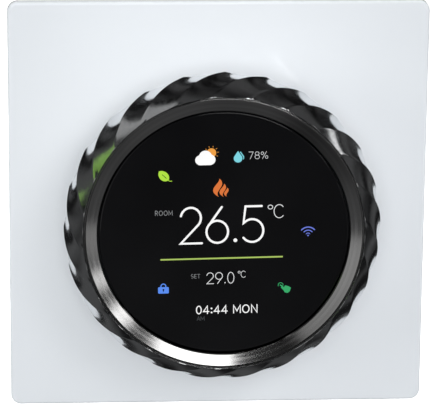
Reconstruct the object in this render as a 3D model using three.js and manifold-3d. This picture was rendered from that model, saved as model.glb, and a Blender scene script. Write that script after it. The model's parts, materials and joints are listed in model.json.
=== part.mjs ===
// A wall thermostat: a square faceplate with a large fluted dial that turns round a fixed display
// and is pressed in to select. Millimetres. The device is modelled facing up, with +Z out of the
// wall, +X to the right and +Y up the wall, and one group then stands it on the wall: the room is
// towards -Y, up is +Z, and the origin is in the wall plane, behind the dial's centre.
import * as THREE from 'three';
import { mergeVertices } from 'three/addons/utils/BufferGeometryUtils.js';
import Module from 'manifold-3d';

const wasm = await Module();
wasm.setup();

// ---- Clearances ----
const FIT = 0.3;            // between two pieces that rest on each other or slide together
const EDGE_FIT = 0.15;      // between the dial and the trim ring pressed into it
const RUNNING = 0.4;        // radial, between the dial's neck and what it turns in
const END_PLAY = 0.2;       // left over at the end of the dial's press
const CUT = 1;              // how far a cutter reaches past the face it cuts

// ---- Faceplate and rear cover ----
const PLATE_SIZE = 86;
const PLATE_CORNER = 2.2;
const PLATE_THICKNESS = 2.9;
const PLATE_BEVEL = 0.5;
const PLATE_OVERHANG = 3;   // of the faceplate past the rear cover
const COVER_WALL = 1.5;
const COVER_FLOOR = 1.3;
const COVER_CORNER = 2;
const LIP_DEPTH = 1.5;
const VENT_COUNT = 7;
const VENT_WIDTH = 6;
const VENT_HEIGHT = 1.6;
const VENT_PITCH = 8.5;

// ---- Dial ----
const RIM_RADIUS = 32;      // the dial's widest circle
const RIM_HEIGHT = 15;      // above the faceplate
const FRONT_SETBACK = 3.5;  // the front edge's radius is smaller than the rim's by this
const FRONT_RISE = 6.3;     // the front edge is further out than the rim by this
const BASE_SETBACK = 4.5;   // the dial's radius at its base is smaller than the rim's by this
const DIAL_WALL = 1.2;      // at the base
const FLUTES = 24;
const FLUTE_DEPTH = 0.4;    // at the rim, little more than a flat facet
const FLUTE_FRONT_DEPTH = 0.25;
const FLUTE_TWIST = 21;     // degrees, from the rim to the front edge
const FLUTE_START = 14.5;   // degrees, where one ridge crosses the rim
const FLUTE_STEPS = 4;
const BEZEL_WIDTH = 3.15;
const BEZEL_DISH = 0.7;     // how far the trim ring falls towards the glass
const BEZEL_THICKNESS = 2.2;

// ---- Display ----
const GLASS_THICKNESS = 1.5;
const GLASS_RECESS = 0.4;   // below the trim ring's inner edge
const COLUMN_WALL = 2;
const PANEL_THICKNESS = 1.2;
const BACKLIGHT_THICKNESS = 2.2;
const LEDGE = 1.6;
const COLUMN_FLANGE = 1.1;
const COLUMN_FLOOR = 1.4;

// ---- Dial drive ----
const GEAR_MODULE = 0.8;
const GEAR_WIDTH = 1.6;
const NECK_WALL = 1.2;
const PINION_TEETH = 14;
const PINION_SHAFT = 1.5;
const ENCODER_SIZE = 10;
const ENCODER_HEIGHT = 1.7;
const ENCODER_ANGLE = -45;  // degrees, from +X
const TOOTH_PLAY = 0.35;    // how much thinner each tooth is than half the pitch

// ---- Press ----
const PRESS_TRAVEL = 0.8;
const SPRING_HEIGHT = 0.6;
const SWITCH_SIZE = 6;
const SWITCH_HEIGHT = 3.2;
const PLUNGER_RADIUS = 1.6;
const SWITCH_FLOOR = 0.5;

// ---- Boards ----
const BOARD_THICKNESS = 1;
const BOARD_MARGIN = 2.5;   // from the rear cover's inner walls
const POST_INSET = 9;       // of the cover screws, from the faceplate's edges
const POST_RADIUS = 2.5;

// ---- Wall side ----
const BASE_THICKNESS = 3;
const BASE_MARGIN = 3;      // from the faceplate's edge
const SCREW_PITCH = 60;     // the standard pitch of a wall box
const SLOT_WIDTH = 4.2;
const SLOT_LENGTH = 7.5;
const BOX_SIZE = 49;
const BOX_DEPTH = 24;
const BOX_WALL = 1.8;
const BOX_SEAT = 0.8;       // how deep the box sits in the base plate
const BOX_POST_RADIUS = 3;
const BOX_BOARD_DEPTH = 9.6; // from the wall plane to the power board's back
const BOX_BOARD_THICKNESS = 1.6;
const CAN_RADIUS = 3.9;     // of the smoothing capacitors
const CAN_PITCH = 9;
const FUSE_RADIUS = 2;
const HEADER_PINS = 5;      // in each of two rows
const PIN_PITCH = 2.54;
const PIN_WIDTH = 0.64;
const TERMINALS = 5;
const TERMINAL_PITCH = 6.6;

// ---- Derived: the stack from the wall outwards ----
const coverBack = BASE_THICKNESS + FIT;
const coverInside = coverBack + COVER_FLOOR;
const boardBack = coverInside + FIT;
const boardFront = boardBack + BOARD_THICKNESS;
const onBoard = boardFront + FIT;
const springTop = onBoard + SPRING_HEIGHT;
const flangeBack = springTop + PRESS_TRAVEL + END_PLAY;
const flangeFront = flangeBack + COLUMN_FLANGE;
const gearBack = flangeFront + FIT;
const gearFront = gearBack + GEAR_WIDTH;
const plateBack = gearFront + FIT;
const plateFront = plateBack + PLATE_THICKNESS;
const dialBack = plateFront + PRESS_TRAVEL + END_PLAY;
const dialFront = plateFront + RIM_HEIGHT + FRONT_RISE;

// ---- Derived: radii, from the dial inwards ----
const frontRadius = RIM_RADIUS - FRONT_SETBACK;
const baseRadius = RIM_RADIUS - BASE_SETBACK;
const boreRadius = baseRadius - DIAL_WALL;
const neckRadius = boreRadius - FIT;
const neckInner = neckRadius - NECK_WALL;
const plateHole = neckRadius + RUNNING;
const columnRadius = neckInner - RUNNING;
const columnInner = columnRadius - COLUMN_WALL;
const bezelInner = frontRadius - BEZEL_WIDTH;
const glassRadius = bezelInner - FIT;
const gearTeeth = 2 * Math.round((plateHole + 1.5) / GEAR_MODULE);
const gearPitch = gearTeeth * GEAR_MODULE / 2;
const pinionPitch = PINION_TEETH * GEAR_MODULE / 2;
const flangeRadius = gearPitch - 1.25 * GEAR_MODULE;
const encoderAt = new THREE.Vector2(gearPitch + pinionPitch, 0)
  .rotateAround(new THREE.Vector2(), THREE.MathUtils.degToRad(ENCODER_ANGLE));

// ---- Derived: the display stack, from the glass inwards ----
const glassFront = dialFront - BEZEL_DISH - GLASS_RECESS;
const glassBack = glassFront - GLASS_THICKNESS;
const columnFront = glassBack - FIT;
const panelFront = columnFront - 0.4;
const panelBack = panelFront - PANEL_THICKNESS;
const backlightFront = panelBack - FIT;
const backlightBack = backlightFront - BACKLIGHT_THICKNESS;
const displayBoardFront = backlightBack - FIT;
const displayBoardBack = displayBoardFront - BOARD_THICKNESS;
const ledgeFront = displayBoardBack - FIT;
const displayRadius = columnInner - FIT;

// ---- Derived: the switch under the column ----
const switchFront = onBoard + SWITCH_HEIGHT;
const plungerFront = switchFront + PRESS_TRAVEL + END_PLAY + 0.2;
const columnFloorBack = plungerFront + FIT;
const plungerBack = onBoard + SWITCH_FLOOR + PRESS_TRAVEL + END_PLAY;

// ---- Derived: plan sizes ----
const coverSize = PLATE_SIZE - 2 * PLATE_OVERHANG;
const coverInner = coverSize - 2 * COVER_WALL;
const boardSize = coverInner - 2 * BOARD_MARGIN;
const boardTrim = boardSize / 2 - (PLATE_SIZE / 2 - POST_INSET) + POST_RADIUS + 1 + FIT;
const baseSize = PLATE_SIZE - 2 * BASE_MARGIN;
const postAt = PLATE_SIZE / 2 - POST_INSET;
const boxInner = BOX_SIZE - 2 * BOX_WALL;
const boxPostAt = boxInner / 2 - BOX_POST_RADIUS + 1;
const headerLength = HEADER_PINS * PIN_PITCH;
const boxBoardFront = BOX_BOARD_THICKNESS - BOX_BOARD_DEPTH;
const socketFront = coverBack - 1.7;
const onBoxBoard = -BOX_BOARD_DEPTH - FIT;

// ---- Materials ----
const paint = (color, roughness, metalness = 0) =>
  new THREE.MeshStandardMaterial({ color, roughness, metalness });
const whiteGloss = paint(0xe9ebee, 0.2);
const whiteMatte = paint(0xdcdcd8, 0.6);
const darkChrome = paint(0x55585c, 0.2, 1);
const brushedChrome = paint(0x8d9094, 0.3, 1);
const blackGlass = paint(0x050506, 0.05);
const blackPlastic = paint(0x17181a, 0.5);
const greyPlastic = paint(0x8a8d90, 0.5);
const whiteFilm = paint(0xf4f6f8, 0.3);
const panelGlass = paint(0x0c1014, 0.1);
const board = paint(0x1b5a34, 0.45);
const steel = paint(0xa8abae, 0.35, 1);
const brass = paint(0xb8964a, 0.35, 1);
const orangeFilm = paint(0xc07a2c, 0.4);
const bluePlastic = paint(0x2a5fa8, 0.45);
const greenPlastic = paint(0x2f8f5b, 0.5);
const yellowPlastic = paint(0xd8b840, 0.5);
const sleeveBlack = paint(0x20242c, 0.35);
const ceramic = paint(0xd9d4c4, 0.7);

// ---- Solids ----

// A closed geometry as a solid, without the flat triangles that a lathe leaves at its axis.
function solid(geometry) {
  const bare = new THREE.BufferGeometry();
  bare.setAttribute('position', geometry.getAttribute('position'));
  if (geometry.index) bare.setIndex(geometry.index);
  const merged = mergeVertices(bare, 1e-4);
  const kept = [];
  const all = merged.index.array;
  for (let i = 0; i < all.length; i += 3) {
    const [a, b, c] = [all[i], all[i + 1], all[i + 2]];
    if (a !== b && b !== c && c !== a) kept.push(a, b, c);
  }
  return new wasm.Manifold(new wasm.Mesh({
    numProp: 3,
    vertProperties: merged.getAttribute('position').array,
    triVerts: new Uint32Array(kept),
  }));
}

// A box between two corners.
function block(low, high) {
  const size = high.map((value, axis) => value - low[axis]);
  const middle = high.map((value, axis) => (value + low[axis]) / 2);
  return solid(new THREE.BoxGeometry(...size).translate(...middle));
}

// A box centred on (x, y), from one depth to another.
function slab(x, y, width, height, back, front) {
  return block([x - width / 2, y - height / 2, back], [x + width / 2, y + height / 2, front]);
}

// A round bar that points out of the wall.
function disc(x, y, radius, back, front, sides = 24) {
  const bar = new THREE.CylinderGeometry(radius, radius, front - back, sides);
  return solid(bar.rotateX(Math.PI / 2).translate(x, y, (back + front) / 2));
}

// A profile of [radius, depth] points turned about the dial's axis.
function turned(profile, sides) {
  const points = profile.map(([radius, depth]) => new THREE.Vector2(radius, depth));
  return new THREE.LatheGeometry(points, sides).rotateX(Math.PI / 2);
}

// A ring with a rectangular section.
function ring(outer, inner, back, front, sides = 48) {
  const profile = [[inner, back], [outer, back], [outer, front], [inner, front], [inner, back]];
  return solid(turned(profile, sides));
}

// A square outline with round corners.
function roundedSquare(size, corner) {
  const half = size / 2;
  const straight = half - corner;
  const outline = new THREE.Shape();
  outline.moveTo(straight, -half);
  outline.absarc(straight, -straight, corner, -Math.PI / 2, 0);
  outline.absarc(straight, straight, corner, 0, Math.PI / 2);
  outline.absarc(-straight, straight, corner, Math.PI / 2, Math.PI);
  outline.absarc(-straight, -straight, corner, Math.PI, 1.5 * Math.PI);
  outline.closePath();
  return outline;
}

// A flat piece with an outline, from one depth to another.
function extruded(outline, back, front, curveSegments = 6) {
  const options = { depth: front - back, bevelEnabled: false, curveSegments };
  return solid(new THREE.ExtrudeGeometry(outline, options).translate(0, 0, back));
}

const joined = (solids) => solids.reduce((sum, next) => sum.add(next));
const without = (body, cutters) => body.subtract(joined(cutters));
const corners = (at) => [[at, at], [-at, at], [-at, -at], [at, -at]];
const cornerDiscs = (at, radius, back, front, sides = 16) =>
  joined(corners(at).map(([x, y]) => disc(x, y, radius, back, front, sides)));

// ---- Scene graph: one group for each piece that moves as a whole ----
const thermostat = new THREE.Group();
const onWall = new THREE.Group();
onWall.rotation.x = Math.PI / 2;
thermostat.add(onWall);
const wallSide = new THREE.Group();
const frontModule = new THREE.Group();
const dialCarriage = new THREE.Group();
const dial = new THREE.Group();
onWall.add(wallSide, frontModule);
frontModule.add(dialCarriage);
dialCarriage.add(dial);

function addPiece(group, name, body, material, position = [0, 0, 0], rotation = [0, 0, 0]) {
  const { vertProperties, triVerts } = body.getMesh();
  const geometry = new THREE.BufferGeometry();
  geometry.setAttribute('position', new THREE.BufferAttribute(vertProperties, 3));
  geometry.setIndex(new THREE.BufferAttribute(triVerts, 1));
  geometry.computeVertexNormals();
  const mesh = new THREE.Mesh(geometry, material);
  mesh.name = name;
  mesh.position.set(...position);
  mesh.rotation.set(...rotation);
  group.add(mesh);
}

// A screw with its head's underside at depth 0 and its shank towards the wall.
function screw(headRadius, headHeight, shankRadius, length) {
  const head = disc(0, 0, headRadius, 0, headHeight, 12);
  const shank = disc(0, 0, shankRadius, -length, headHeight * 0.3, 8);
  const slot = slab(0, 0, headRadius * 3, headRadius * 0.3, headHeight * 0.45, headHeight + CUT);
  return without(head.add(shank), [slot]);
}

// ---- Base plate: flat on the wall, held by two screws in upright slots ----
const slotAt = SCREW_PITCH / 2;
const slotPocket = 1.8;
const clipAt = [[-20, 1], [20, 1], [-20, -1], [20, -1]];
const clipOffset = coverInner / 2 - 3.5;
const clipSize = [6, 1.6];

function basePlate() {
  const plate = extruded(roundedSquare(baseSize, COVER_CORNER), 0, BASE_THICKNESS);
  const through = [-CUT, BASE_THICKNESS + CUT];
  const cutters = [
    slab(0, 0, BOX_SIZE + 2 * FIT, BOX_SIZE + 2 * FIT, -CUT, BOX_SEAT + FIT),
    slab(0, 0, headerLength + 2.4, 7.5, ...through),
    cornerDiscs(boxPostAt, 1.5, ...through, 12),
    cornerDiscs(boxPostAt, 2.9, BASE_THICKNESS - 1.4, BASE_THICKNESS + CUT),
  ];
  for (const side of [-1, 1]) {
    const x = side * slotAt;
    const end = (SLOT_LENGTH - SLOT_WIDTH) / 2;
    cutters.push(slab(x, 0, SLOT_WIDTH, 2 * end, ...through));
    cutters.push(disc(x, end, SLOT_WIDTH / 2, ...through, 12));
    cutters.push(disc(x, -end, SLOT_WIDTH / 2, ...through, 12));
    cutters.push(slab(x, 0, 9, 12, BASE_THICKNESS - slotPocket, BASE_THICKNESS + CUT));
  }
  for (const [x, side] of clipAt) {
    cutters.push(slab(x, side * clipOffset, clipSize[0] + 1.2, clipSize[1] + 1.2, ...through));
  }
  for (const y of [-15, -11, 11, 15]) {
    cutters.push(slab(0, y, 22, 1.8, ...through));
  }
  return without(plate, cutters);
}
addPiece(wallSide, 'base_plate', basePlate(), whiteMatte);

const wallScrew = screw(3.7, 1.4, 1.9, 26);
[['wall_screw_left', -1], ['wall_screw_right', 1]].forEach(([name, side]) => {
  const seat = BASE_THICKNESS - slotPocket + FIT;
  addPiece(wallSide, name, wallScrew, steel, [side * slotAt, 0, seat]);
});

const boxScrew = screw(2.6, 1, 0.75, 9);
corners(boxPostAt).forEach(([x, y], i) => {
  addPiece(wallSide, `box_screw_${i + 1}`, boxScrew, steel, [x, y, BASE_THICKNESS - 1.4 + 0.25]);
});

// ---- Power box: open to the front, with the terminal block let into its back and bottom ----
const blockWidth = TERMINALS * TERMINAL_PITCH + 0.4;
const blockHeight = 10;
const blockBottom = -BOX_SIZE / 2 + FIT;
const blockTop = blockBottom + blockHeight;
const blockBack = FIT - BOX_DEPTH;
const blockFront = onBoxBoard;

function powerBox() {
  const half = boxInner / 2;
  const hollow = block([-half, -half, BOX_WALL - BOX_DEPTH], [half, half, BOX_SEAT + CUT]);
  const shell = without(slab(0, 0, BOX_SIZE, BOX_SIZE, -BOX_DEPTH, BOX_SEAT), [hollow]);
  const posts = cornerDiscs(boxPostAt, BOX_POST_RADIUS, BOX_WALL - BOX_DEPTH - 0.5, BOX_SEAT);
  const ribs = [-1, 1].map((side) =>
    slab(side * (half - 0.6), 0, 1.4, 12, -BOX_DEPTH + 1, onBoxBoard));
  const opening = block(
    [-blockWidth / 2 - FIT, -BOX_SIZE / 2 - CUT, -BOX_DEPTH - CUT],
    [blockWidth / 2 + FIT, blockTop + FIT, blockFront + FIT],
  );
  const screwHoles = cornerDiscs(boxPostAt, 1.05, -9, BOX_SEAT + CUT, 10);
  const vents = [-9, -3, 3, 9].map((x) =>
    block([x - 1.2, half - CUT, -16], [x + 1.2, BOX_SIZE / 2 + CUT, -4]));
  return without(joined([shell, posts, ...ribs]), [opening, screwHoles, ...vents]);
}
addPiece(wallSide, 'power_box', powerBox(), blackPlastic);

function powerBoard() {
  const size = boxInner - 2 * FIT;
  const sheet = slab(0, 0, size, size, -BOX_BOARD_DEPTH, boxBoardFront);
  const notches = cornerDiscs(
    boxPostAt, BOX_POST_RADIUS + FIT, -BOX_BOARD_DEPTH - CUT, boxBoardFront + CUT);
  const trimmed = corners(size / 2).map(([x, y]) =>
    slab(x, y, 8, 8, -BOX_BOARD_DEPTH - CUT, boxBoardFront + CUT));
  return without(sheet, [notches, ...trimmed]);
}
addPiece(wallSide, 'power_board', powerBoard(), board);

// Parts that stand on the power board, towards the back of the box. They fill two rows between the
// terminal block and the upper posts, and are set out from the side walls.
const bay = boxInner / 2;
const lowerRow = [blockTop + 2.5, blockTop + 2.5 + 2 * CAN_RADIUS];
const upperRow = [lowerRow[1] + 0.9, boxPostAt - BOX_POST_RADIUS - 1.7];
const canSecond = bay - 3.6 - CAN_RADIUS;
const canFirst = canSecond - CAN_PITCH;
const fuseX = canFirst - 7;
const rowMiddle = (lowerRow[0] + lowerRow[1]) / 2;

const relay = block([3.7 - bay, upperRow[0], onBoxBoard - 12], [-4, upperRow[1], onBoxBoard]);
addPiece(wallSide, 'relay', relay, bluePlastic);
const converter = block([2, upperRow[0] + 3, onBoxBoard - 12], [bay - 4.7, upperRow[1], onBoxBoard]);
addPiece(wallSide, 'power_converter', converter, sleeveBlack);
const filmCapacitor = block(
  [4.7 - bay, rowMiddle - 2.5, onBoxBoard - 9], [fuseX - FUSE_RADIUS - 2.2, rowMiddle + 2.5, onBoxBoard]);
addPiece(wallSide, 'film_capacitor', filmCapacitor, yellowPlastic);
[canFirst, canSecond].forEach((x, i) => {
  const can = disc(x, rowMiddle, CAN_RADIUS, onBoxBoard - 11, onBoxBoard, 20);
  addPiece(wallSide, `smoothing_capacitor_${i + 1}`, can, sleeveBlack);
});
const fuse = disc(fuseX, rowMiddle, FUSE_RADIUS, onBoxBoard - 8, onBoxBoard, 12);
addPiece(wallSide, 'fuse', fuse, ceramic);

// ---- Terminal block: wires go in from below, screws face the back ----
const terminalX = (i) => (i - (TERMINALS - 1) / 2) * TERMINAL_PITCH;
const terminalScrewY = blockBottom + blockHeight * 0.5;
const screwWell = 5;

function terminalBlock() {
  const half = blockWidth / 2;
  const body = block([-half, blockBottom, blockBack], [half, blockTop, blockFront]);
  const cutters = [];
  for (let i = 0; i < TERMINALS; i++) {
    const wellEnds = [blockBack - CUT, blockBack + screwWell];
    cutters.push(disc(terminalX(i), terminalScrewY, 2.2, ...wellEnds, 14));
    cutters.push(block(
      [terminalX(i) - 1.8, blockBottom - CUT, blockBack + screwWell + 1],
      [terminalX(i) + 1.8, blockBottom + 7, blockBack + screwWell + 4.6],
    ));
  }
  return without(body, cutters);
}
addPiece(wallSide, 'terminal_block', terminalBlock(), greenPlastic);

const terminalScrew = without(
  disc(0, 0, 1.9, 0, 3.6, 14),
  [slab(0, 0, 5, 0.6, 2.8, 3.6 + CUT)],
);
for (let i = 0; i < TERMINALS; i++) {
  const seat = [terminalX(i), terminalScrewY, blockBack + screwWell - FIT];
  addPiece(wallSide, `terminal_screw_${i + 1}`, terminalScrew, steel, seat, [Math.PI, 0, 0]);
}

// ---- Header between the wall side and the front module ----
const pinPlaces = [];
for (let i = 0; i < HEADER_PINS; i++) {
  for (const row of [-0.5, 0.5]) {
    pinPlaces.push([(i - (HEADER_PINS - 1) / 2) * PIN_PITCH, row * PIN_PITCH]);
  }
}
const socketBack = boxBoardFront + FIT;
const pinTip = socketBack + 1.5;
const headerFront = coverInside;
const headerBack = socketFront + 0.5;

function headerSocket() {
  const body = slab(0, 0, headerLength, 2 * PIN_PITCH, socketBack, socketFront);
  return without(body, pinPlaces.map(([x, y]) =>
    slab(x, y, 1.3, 1.3, pinTip - FIT, socketFront + CUT)));
}
addPiece(wallSide, 'header_socket', headerSocket(), blackPlastic);

function pinHeader() {
  const body = slab(0, 0, headerLength, 2 * PIN_PITCH, headerBack, headerFront);
  const pins = pinPlaces.map(([x, y]) =>
    slab(x, y, PIN_WIDTH, PIN_WIDTH, pinTip, headerBack + 0.5));
  return joined([body, ...pins]);
}
addPiece(frontModule, 'pin_header', pinHeader(), blackPlastic);

// ---- Faceplate: bevelled front edge, a hole for the dial's neck, lip and posts behind ----
const postBack = boardBack + 1.4;

function faceplate() {
  const flat = PLATE_SIZE - 2 * PLATE_BEVEL;
  const front = new THREE.ExtrudeGeometry(roundedSquare(flat, PLATE_CORNER - PLATE_BEVEL), {
    depth: PLATE_THICKNESS - 2 * PLATE_BEVEL,
    bevelThickness: PLATE_BEVEL,
    bevelSize: PLATE_BEVEL,
    bevelSegments: 2,
    curveSegments: 6,
  });
  const panel = solid(front.translate(0, 0, plateBack + PLATE_BEVEL));
  const lipOuter = coverInner - 2 * FIT;
  const lipInner = lipOuter - 2 * COVER_WALL;
  const lipBack = plateBack - LIP_DEPTH;
  const lip = without(
    slab(0, 0, lipOuter, lipOuter, lipBack, plateBack + PLATE_BEVEL),
    [slab(0, 0, lipInner, lipInner, lipBack - CUT, plateFront)],
  );
  const posts = cornerDiscs(postAt, POST_RADIUS, postBack, plateBack + PLATE_BEVEL);
  const hole = disc(0, 0, plateHole, plateBack - CUT, plateFront + CUT, 64);
  const screwHoles = cornerDiscs(postAt, 1.05, postBack - CUT, plateBack, 10);
  return without(joined([panel, lip, posts]), [hole, screwHoles]);
}
addPiece(frontModule, 'faceplate', faceplate(), whiteGloss);

// ---- Rear cover: a tray with vents above and below, and four prongs for the base plate ----
const coverRim = plateBack - FIT;
const screwBoss = postBack - FIT;

function rearCover() {
  const tray = extruded(roundedSquare(coverSize, COVER_CORNER), coverBack, coverRim);
  const half = coverInner / 2;
  const hollow = block([-half, -half, coverInside], [half, half, coverRim + CUT]);
  const bosses = cornerDiscs(postAt, POST_RADIUS + 1, coverBack + 0.5, screwBoss);
  const prongs = clipAt.map(([x, side]) =>
    slab(x, side * clipOffset, clipSize[0], clipSize[1], 0.8, coverBack + 0.5));
  const cutters = [
    slab(0, 0, headerLength + 2 * FIT, 2 * PIN_PITCH + 2 * FIT, coverBack - CUT, coverInside + CUT),
    cornerDiscs(postAt, 1.2, coverBack - CUT, screwBoss + CUT, 12),
    cornerDiscs(postAt, 2.5, coverBack - CUT, coverBack + 1.5, 14),
  ];
  for (let i = 0; i < VENT_COUNT; i++) {
    const x = (i - (VENT_COUNT - 1) / 2) * VENT_PITCH;
    const middle = boardFront + 2;
    cutters.push(block(
      [x - VENT_WIDTH / 2, -coverSize / 2 - CUT, middle - VENT_HEIGHT / 2],
      [x + VENT_WIDTH / 2, coverSize / 2 + CUT, middle + VENT_HEIGHT / 2],
    ));
  }
  const shell = without(tray, [hollow]);
  return without(joined([shell, bosses, ...prongs]), cutters);
}
addPiece(frontModule, 'rear_cover', rearCover(), whiteMatte);

const coverScrew = screw(2.1, 0.9, 0.75, 5.5);
corners(postAt).forEach(([x, y], i) => {
  const seat = [x, y, coverBack + 1.5 - FIT];
  addPiece(frontModule, `cover_screw_${i + 1}`, coverScrew, steel, seat, [Math.PI, 0, 0]);
});

// ---- Main board and what stands on it ----
function mainBoard() {
  const sheet = slab(0, 0, boardSize, boardSize, boardBack, boardFront);
  const trimmed = corners(boardSize / 2).map(([x, y]) => {
    return slab(x, y, 2 * boardTrim, 2 * boardTrim, boardBack - CUT, boardFront + CUT);
  });
  return without(sheet, trimmed);
}
addPiece(frontModule, 'main_board', mainBoard(), board);

const edge = boardSize / 2;
const cornerZone = edge - 7.5;
const radioSize = [16, 11];
const radioAt = [boardTrim + 0.7 + radioSize[0] / 2 - edge, edge - 0.5 - radioSize[1] / 2];
const chipAt = [-columnInner / 2, columnInner / 4];
addPiece(
  frontModule, 'controller_chip',
  slab(...chipAt, 10, 10, onBoard, onBoard + 1), blackPlastic);
addPiece(
  frontModule, 'radio_module',
  slab(...radioAt, ...radioSize, onBoard, onBoard + 1.8), steel);
const buzzer = disc(cornerZone - 1, cornerZone - 1, 4.5, onBoard, onBoard + 3.6, 24);
addPiece(frontModule, 'buzzer', buzzer, blackPlastic);

function temperatureSensor() {
  const bead = solid(new THREE.SphereGeometry(1.2, 8, 6).translate(0, 0, onBoard + 2));
  const legs = [-0.6, 0.6].map((x) => slab(x, 0, 0.4, 0.4, onBoard, onBoard + 2));
  return joined([bead, ...legs]);
}
addPiece(frontModule, 'temperature_sensor', temperatureSensor(), blackPlastic, [-12, -edge + 2, 0]);

const batteryRadius = 6.25;
const batteryAt = [-cornerZone + 1, -cornerZone + 4];
const batteryBack = onBoard + 0.3;
const batteryFront = batteryBack + 2;
addPiece(
  frontModule, 'clock_battery',
  disc(...batteryAt, batteryRadius, batteryBack, batteryFront, 28), steel);

function batteryClip() {
  const [x, y] = batteryAt;
  const reach = batteryRadius + FIT;
  const strap = slab(x, y, 2 * reach + 1, 4, batteryFront + FIT, batteryFront + FIT + 0.5);
  const legs = [-1, 1].map((side) =>
    slab(x + side * (reach + 0.25), y, 0.5, 4, onBoard, batteryFront + FIT + 0.5));
  return joined([strap, ...legs]);
}
addPiece(frontModule, 'battery_clip', batteryClip(), steel);

// The encoder stands on the diagonal, where its gear meets the dial's gear behind the faceplate.
const encoderFront = onBoard + ENCODER_HEIGHT;
const encoderBody = without(
  slab(0, 0, ENCODER_SIZE, ENCODER_SIZE, onBoard, encoderFront),
  [disc(0, 0, PINION_SHAFT + FIT, onBoard + 0.4, encoderFront + CUT, 20)],
);
const encoderTurn = THREE.MathUtils.degToRad(ENCODER_ANGLE);
addPiece(
  frontModule, 'encoder_body', encoderBody, greyPlastic,
  [encoderAt.x, encoderAt.y, 0], [0, 0, encoderTurn]);

const flexAt = -columnInner + 7;
addPiece(frontModule, 'flex_connector', slab(0, flexAt, 13, 4, onBoard, onBoard + 1.1), ceramic);

const switchBody = without(
  slab(0, 0, SWITCH_SIZE, SWITCH_SIZE, onBoard, switchFront),
  [disc(0, 0, PLUNGER_RADIUS + FIT, onBoard + SWITCH_FLOOR, switchFront + CUT, 20)],
);
addPiece(frontModule, 'switch_body', switchBody, blackPlastic);
const plunger = disc(0, 0, PLUNGER_RADIUS, plungerBack, plungerFront, 20);
addPiece(frontModule, 'switch_plunger', plunger, greyPlastic);

const waveSpring = ring(flangeRadius - 0.4, flangeRadius - 3, onBoard, springTop, 40);
addPiece(frontModule, 'wave_spring', waveSpring, steel);

// ---- Column: a cup that carries the display; its flange sits behind the dial's gear ----
function displayColumn() {
  const outer = columnRadius;
  const profile = [
    [0, columnFloorBack], [columnInner, columnFloorBack], [columnInner, flangeBack],
    [flangeRadius, flangeBack], [flangeRadius, flangeFront], [outer, flangeFront],
    [outer, columnFront], [columnInner, columnFront], [columnInner, ledgeFront],
    [columnInner - LEDGE, ledgeFront], [columnInner - LEDGE, ledgeFront - 1.2],
    [columnInner, ledgeFront - 1.2 - LEDGE], [columnInner, columnFloorBack + COLUMN_FLOOR],
    [0, columnFloorBack + COLUMN_FLOOR],
  ];
  const cup = solid(turned(profile, 40));
  const through = [columnFloorBack - CUT, columnFloorBack + COLUMN_FLOOR + CUT];
  const windows = [slab(0, flexAt, 14, 3, ...through)];
  for (const angle of [30, 150, 90]) {
    const place = THREE.MathUtils.degToRad(angle);
    const x = columnInner * 0.6 * Math.cos(place);
    const y = columnInner * 0.6 * Math.sin(place);
    windows.push(disc(x, y, 4, ...through, 20));
  }
  return without(cup, windows);
}
addPiece(dialCarriage, 'display_column', displayColumn(), blackPlastic);

addPiece(
  dialCarriage, 'display_board',
  disc(0, 0, displayRadius, displayBoardBack, displayBoardFront, 40), board);
addPiece(
  dialCarriage, 'backlight',
  disc(0, 0, displayRadius, backlightBack, backlightFront, 40), whiteFilm);
addPiece(
  dialCarriage, 'lcd_panel',
  disc(0, 0, displayRadius, panelBack, panelFront, 40), panelGlass);

function glassLens() {
  const chamfer = 0.25;
  const profile = [
    [0, glassBack], [glassRadius, glassBack], [glassRadius, glassFront - chamfer],
    [glassRadius - chamfer, glassFront], [0, glassFront],
  ];
  return solid(turned(profile, 72));
}
addPiece(dialCarriage, 'glass_lens', glassLens(), blackGlass);

// A flat ribbon from the display board down through the column's floor, with slack for the press.
function flexCable() {
  const width = 10;
  const thin = 0.25;
  const tail = onBoard + 1.1 + PRESS_TRAVEL + 0.2;
  const bend = ledgeFront - 4;
  const centre = [
    [0, tail], [0, columnFloorBack + 4], [2.5, columnFloorBack + 7],
    [2.5, bend - 3], [0, bend], [0, displayBoardBack - FIT],
  ];
  const ribbon = new THREE.Shape();
  centre.forEach(([offset, depth], i) => {
    if (i === 0) ribbon.moveTo(offset - thin / 2, depth);
    else ribbon.lineTo(offset - thin / 2, depth);
  });
  [...centre].reverse().forEach(([offset, depth]) => ribbon.lineTo(offset + thin / 2, depth));
  ribbon.closePath();
  const strip = new THREE.ExtrudeGeometry(ribbon, { depth: width, bevelEnabled: false });
  strip.translate(0, 0, -width / 2).rotateY(Math.PI / 2).rotateX(Math.PI / 2);
  return solid(strip.translate(0, flexAt, 0));
}
addPiece(dialCarriage, 'flex_cable', flexCable(), orangeFilm);

// ---- Knob ring: scooped flutes that twist from the rim to the front edge ----
const LOWER_STEPS = 4;
const UPPER_STEPS = 4;

// The dial's outer outline before the flutes are cut: a long curve up to the rim, then a
// tightening arc over to the front edge.
function knobOutline() {
  const rim = new THREE.Vector2(RIM_RADIUS, plateFront + RIM_HEIGHT);
  const foot = new THREE.Vector2(baseRadius, dialBack);
  const bulge = new THREE.Vector2(RIM_RADIUS - 0.3, rim.y - 1);
  const lower = new THREE.QuadraticBezierCurve(foot, bulge, rim).getPoints(LOWER_STEPS);
  const span = 12;
  const turnEnd = Math.acos(1 - FRONT_SETBACK / span);
  const upper = [];
  for (let i = 1; i <= UPPER_STEPS; i++) {
    const turn = turnEnd * i / UPPER_STEPS;
    const rise = FRONT_RISE * Math.sin(turn) / Math.sin(turnEnd);
    upper.push(new THREE.Vector2(RIM_RADIUS - span * (1 - Math.cos(turn)), rim.y + rise));
  }
  return [...lower, ...upper].map((point) => [point.x, point.y]);
}

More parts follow.
